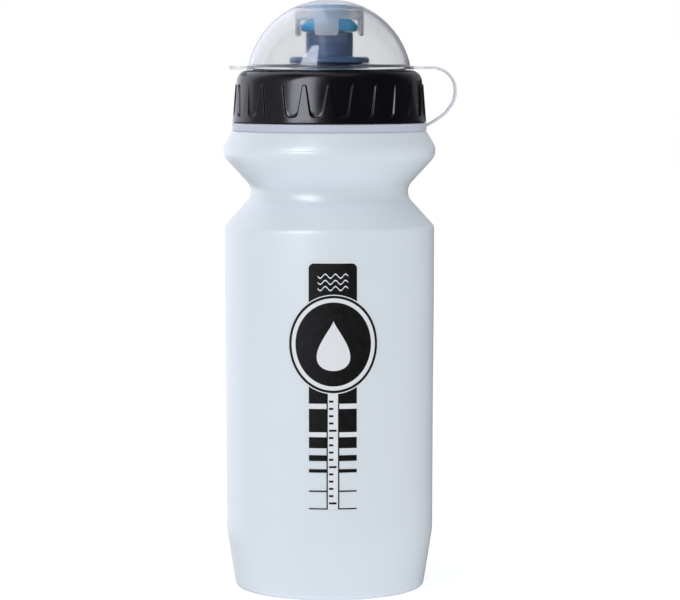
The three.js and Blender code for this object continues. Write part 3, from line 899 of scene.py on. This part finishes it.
def clip_foot(angle):
    """Height of the collar's lower edge: four fingers with rounded corners between windows."""
    quarter = TURN / 4
    off = abs((angle - CLIP_TURN + quarter / 2) % quarter - quarter / 2) * CLIP_OUTER_R
    half, corner = CLIP_HALF, CLIP_CORNER
    if off <= half - corner:
        return CLIP_FOOT_Z
    if off <= half:
        return CLIP_FOOT_Z + corner - math.sqrt(corner ** 2 - (off - half + corner) ** 2)
    if off <= half + 0.15:
        return CLIP_FOOT_Z + corner + (CLIP_COLLAR_Z - CLIP_FOOT_Z - corner - 0.3) * (off - half) / 0.15
    if off <= half + 0.45:
        rise = (off - half - 0.15) / 0.3
        return CLIP_COLLAR_Z - 0.3 + 0.3 * math.sqrt(1 - (1 - rise) ** 2)
    return CLIP_COLLAR_Z


def dome_angles():
    """Even steps round the dome, with closer ones at the edges of the tab, tongue and clips."""
    angles = set(round(TURN * i / 200, 7) for i in range(200))
    for quarter in range(4):
        for side in (-1, 1):
            for off in (-1.0, -0.8, -0.6, -0.4, -0.25, -0.1, 0, 0.15, 0.2, 0.3, 0.45):
                angle = CLIP_TURN + quarter * TURN / 4 + side * (CLIP_HALF + off) / CLIP_OUTER_R
                angles.add(round(angle % TURN, 7))
    tongue = math.atan2(STRAP_HALF, TONGUE_X)
    tongue_root = math.asin(STRAP_HALF / DOME_RIM_R)
    tab_root = math.asin(THUMB_TAB_HALF / DOME_RIM_R)
    tab_end = math.atan2(THUMB_TAB_HALF - THUMB_TAB_CORNER, THUMB_TAB_X)
    for side in (-1, 1):
        for angle in np.linspace(tongue, tongue_root, 5):
            angles.add(round((side * angle) % TURN, 7))
        for angle in np.linspace(tab_end, tab_root, 14):
            angles.add(round((math.pi + side * angle) % TURN, 7))
    return sorted(angles)


def dust_dome(material, milky):
    """Dome, rim, tab, tongue, collar and clips, turned column by column."""
    inner_r = DOME_R - DOME_WALL
    rim_top = DOME_RIM_Z + PLATE

    def skin(radius, low_z, high_r, count):
        """Points on a sphere from a height near the rim up to a radius near the axis."""
        low = math.asin((low_z - DOME_CENTRE_Z) / radius)
        high = math.acos(high_r / radius)
        return [(radius * math.cos(low + (high - low) * k / count),
                 DOME_CENTRE_Z + radius * math.sin(low + (high - low) * k / count))
                for k in range(count + 1)]

    outer = skin(DOME_R, rim_top + 0.7, 0.0, 44)[::-1]
    shoulder_r = outer[-1][0]
    fillet = [(shoulder_r + 0.75 * (1 - math.cos(t)), rim_top + 0.7 * (1 - math.sin(t)))
              for t in np.linspace(0.15, math.pi / 2, 6)]
    inner_low = skin(inner_r, DOME_RIM_Z + 0.5, CLIP_OUTER_R + 0.35, 26)
    collar_top = inner_low[-1][1] - 0.35
    clip_top_z = DOME_CENTRE_Z + math.sqrt(inner_r ** 2 - (CLIP_INNER_R - 0.4) ** 2)
    inner_high = skin(inner_r, clip_top_z, 0.0, 12)
    ceiling = inner_high[0][1] - 0.4
    rim_inner = inner_low[0][0]
    root = (fillet[-1][0] + 0.05, rim_top)
    under = [(rim_inner + 0.25, DOME_RIM_Z), (rim_inner + 0.06, DOME_RIM_Z + 0.12)]
    round_off = 0.25
    columns = []
    for angle in dome_angles():
        reach = rim_reach(angle)
        foot = clip_foot(angle)
        rim = [(reach - round_off, rim_top), (reach - 0.1, rim_top - 0.08),
               (reach, rim_top - round_off), (reach, DOME_RIM_Z + round_off),
               (reach - 0.1, DOME_RIM_Z + 0.08), (reach - round_off, DOME_RIM_Z)]
        down = [(CLIP_OUTER_R, collar_top - (collar_top - foot - 0.3) * k / 8) for k in range(9)]
        edge = [(CLIP_OUTER_R - 0.1, foot + 0.08), (CLIP_OUTER_R - 0.3, foot),
                (CLIP_INNER_R + 0.3, foot), (CLIP_INNER_R + 0.1, foot + 0.08)]
        up = [(CLIP_INNER_R, foot + 0.3 + (ceiling - foot - 0.3) * k / 8) for k in range(9)]
        outline = outer + fillet[1:] + [root] + rim + under + inner_low + down + edge + up + inner_high
        columns.append((angle, outline))
    dome = turned("dome_shell", columns, closed=False, sharp_angle=50)
    stands_for(dome, "dust_dome", "dome", material)
    dome.data.materials.append(milky)
    for face in dome.data.polygons:
        middle = face.center / MM
        from_axis = math.hypot(middle.x, middle.y)
        from_centre = math.hypot(from_axis, middle.z - DOME_CENTRE_Z)
        on_clips = from_axis < CLIP_OUTER_R + 0.1 and from_centre < inner_r - 0.05
        on_tabs = from_axis > DOME_RIM_R + 0.05
        face.material_index = 1 if on_clips or on_tabs else 0
    return dome


def strap_route():
    """Middle line of the strap in X and Z, a curve through spots from the dome's tongue to the ring."""
    ring_middle = (ring_low.z + ring_high.z) / 2 / MM
    spots = [(TONGUE_X + 0.02, RIM_MIDDLE_Z), (TONGUE_X + FOLD, RIM_MIDDLE_Z), (37.6, RIM_MIDDLE_Z - 0.1),
             (41.4, 180.7), (43.7, 177.2), (43.8, 172.2), (41.2, 167.6), (37.4, 164.5),
             (RING_OUTER_R - 0.15, ring_middle)]
    spots = [Vector(spot) for spot in spots]
    spots = [spots[0] * 2 - spots[1], *spots, spots[-1] * 2 - spots[-2]]
    route = []
    for a, b, c, d in zip(spots, spots[1:], spots[2:], spots[3:]):
        for k in range(12):
            t = k / 12
            route.append(0.5 * (2 * b + (c - a) * t + (2 * a - 5 * b + 4 * c - d) * t * t
                                + (3 * b - a - 3 * c + d) * t ** 3))
    route.append(spots[-2])
    return route


def tether_strap(material):
    """A flat band with rounded edges, from the dome's tongue to the ring."""
    route = strap_route()
    section = rounded([[-1, -0.5, 0.3], [1, -0.5, 0.3], [1, 0.5, 0.3], [-1, 0.5, 0.3]])
    bm = bmesh.new()
    rows = []
    for i, at in enumerate(route):
        before, after = route[max(i - 1, 0)], route[min(i + 1, len(route) - 1)]
        along = (after - before).normalized()
        normal = Vector((-along.y, along.x))
        row = []
        for side, height in section:
            edge = math.copysign(STRAP_HALF - 1 + abs(side), side)
            off = normal * height * STRAP_THICKNESS
            row.append(bm.verts.new((at.x + off.x, edge, at.y + off.y)))
        rows.append(row)
    count = len(section)
    for row, beside in zip(rows, rows[1:]):
        for k in range(count):
            bm.faces.new((row[k], beside[k], beside[(k + 1) % count], row[(k + 1) % count]))
    bm.faces.new(rows[0])
    bm.faces.new(rows[-1])
    strap = finish_mesh("strap_band", bm)
    strap.data.materials.append(material)
    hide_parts("tether_strap")
    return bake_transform(strap)


def neck_ring(material):
    """Its underside follows the bottle's rounded shoulder a tenth of a millimetre above it."""
    low, high = SHOULDER_Z + 0.1, ring_high.z / MM + 0.45
    ring = lathe("tether_ring", [[RING_INNER_R, low, 0.08], [32.2, low, 0.5], [33.2, low - 0.18, 0.5],
                                 [RING_OUTER_R, low - 0.78, 0.25],
                                 [RING_OUTER_R, high, 0.3], [RING_INNER_R, high, 0.3]], segments=160)
    return stands_for(ring, "neck_ring", "tether", material)


# ---------------------------------------------------------------- print

def droplet(height, width, s, z, count=40):
    """A plain drop: a round foot that runs up to a point."""
    points = []
    for i in range(count):
        t = TURN * i / count
        points.append((s + width * math.sin(t) * math.sin(t / 2) ** 1.6, z + height * math.cos(t)))
    return points


def wave(half, swing, thick, s, z, count=40):
    """A wavy stroke, three waves long."""
    along = [(2 * i / count - 1) * half for i in range(count + 1)]
    heights = [z + swing * math.sin(3 * math.pi * x / half) for x in along]
    upper = [(s + x, h + thick / 2) for x, h in zip(along, heights)]
    lower = [(s + x, h - thick / 2) for x, h in zip(along, heights)]
    return lower + upper[::-1]


def ride_print(piece):
    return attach(piece, "bottle")


def make_print(black, white):
    """A generic graphic: a panel that breaks up into bars, with a round badge and a plain drop."""
    radius_at = body_radius_at()
    left, right = PRINT_S - PANEL_HALF, PRINT_S + PANEL_HALF

    def lay(name, outline, holes=(), lift=INK_LIFT, ink=black):
        return ride_print(ink_patch(name, outline, holes, lift, radius_at, ink))

    margin = 0.35
    lay("print_ground_panel", box_outline(left - margin, right + margin, BARS[2][1] - margin,
                                          PANEL_TOP + margin, 2.2), lift=INK_LIFT * 0.4, ink=white)
    lay("print_panel_top", box_outline(left, right, BADGE_Z, PANEL_TOP, 1.8))
    strip_left, strip_right = PRINT_S - STRIP_HALF, PRINT_S + STRIP_HALF
    for index, (top, bottom) in enumerate(BARS):
        top = BADGE_Z if index == 0 else top
        lay(f"print_bar_left_{index}", box_outline(left, strip_left, bottom, top))
        lay(f"print_bar_right_{index}", box_outline(strip_right, right, bottom, top))
    foot = BARS[-1][1]
    lay("print_border_left", box_outline(strip_left - BORDER, strip_left, foot, BADGE_Z))
    lay("print_border_right", box_outline(strip_right, strip_right + BORDER, foot, BADGE_Z))
    lay("print_strip", box_outline(strip_left, strip_right, foot, BADGE_Z),
        lift=INK_LIFT * 0.8, ink=white)
    badge_lift = INK_LIFT * 1.6
    lay("print_badge_ground", badge_ellipse(BADGE_HALF + margin, BADGE_TALL + margin),
        lift=badge_lift, ink=white)
    lay("print_badge_ring", badge_ellipse(BADGE_HALF, BADGE_TALL),
        [badge_ellipse(BADGE_HALF - 0.85, BADGE_TALL - 0.85)], lift=badge_lift * 1.6)
    lay("print_badge_disc", badge_ellipse(BADGE_HALF - 2.3, BADGE_TALL - 2.3),
        [droplet(8.6, 8.4, BADGE_S, BADGE_Z - 0.5)], lift=badge_lift * 1.6)
    for tick in range(15):
        z = foot + 1.8 + tick * 2.5
        reach = 2.6 if tick % 5 == 0 else 1.5
        lay(f"print_tick_{tick}", box_outline(strip_left + 0.4, strip_left + 0.4 + reach, z, z + 0.7),
            lift=INK_LIFT * 1.3)
    for row in range(3):
        lay(f"print_wave_{row}", wave(5.2, 0.7, 0.45, PRINT_S, WAVES_Z - 2.1 * row),
            lift=INK_LIFT * 1.4, ink=white)


# ---------------------------------------------------------------- stage

def make_floor():
    """A wide pale sheet just under the standing ring."""
    bm = bmesh.new()
    bmesh.ops.create_grid(bm, x_segments=2, y_segments=2, size=4000)
    bmesh.ops.translate(bm, vec=(0, 0, -0.05), verts=bm.verts)
    floor = finish_mesh("floor", bm)
    paper = Finish("floor_paper", Roughness=0.9, Specular_IOR_Level=0.1,
                   Emission_Color=(1, 1, 1, 1), Emission_Strength=0.4)
    paper.tint(paper.noise(3, 2), (0.92, 0.92, 0.92), (0.93, 0.93, 0.93))
    floor.data.materials.append(paper.material)
    floor.visible_glossy = False


def main():
    make_camera()
    make_world()
    make_light("strip_box", -28.5, 1.02, 0.95, (0.32, 1.9), 7.5, "gloss", aim=1.47, roll=-3)
    make_light("left_glow", -75, 0.85, 0.9, (0.8, 0.8), 0.5, "diffuse")
    make_light("top_glow", 0, 1.2, 0.2, (0.8, 0.8), 0.4)
    make_floor()

    frosted, black, navy = frosted_body(), black_cap(), navy_valve()
    blue, clear, rubber = blue_tip(), clear_dome(), seal_rubber()
    milky = milky_plastic("milky_clips", 0.68, (0.95, 0.96, 0.975))
    cloudy = milky_plastic("cloudy_strap", 0.4, (0.85, 0.87, 0.92))
    cloudiest = milky_plastic("cloudy_ring", 0.3, (0.72, 0.76, 0.88))
    bottle_shell(frosted)
    make_print(black_ink(), white_ink())
    cap_shell(black)
    cap_gasket(rubber)
    valve_flange(navy)
    stopper_post(navy)
    valve_seal(rubber)
    valve_stem(navy)
    bite_tip(blue)
    dust_dome(clear, milky)
    tether_strap(cloudy)
    neck_ring(cloudiest)

    scene = bpy.context.scene
    scene.view_settings.view_transform = "Standard"


main()
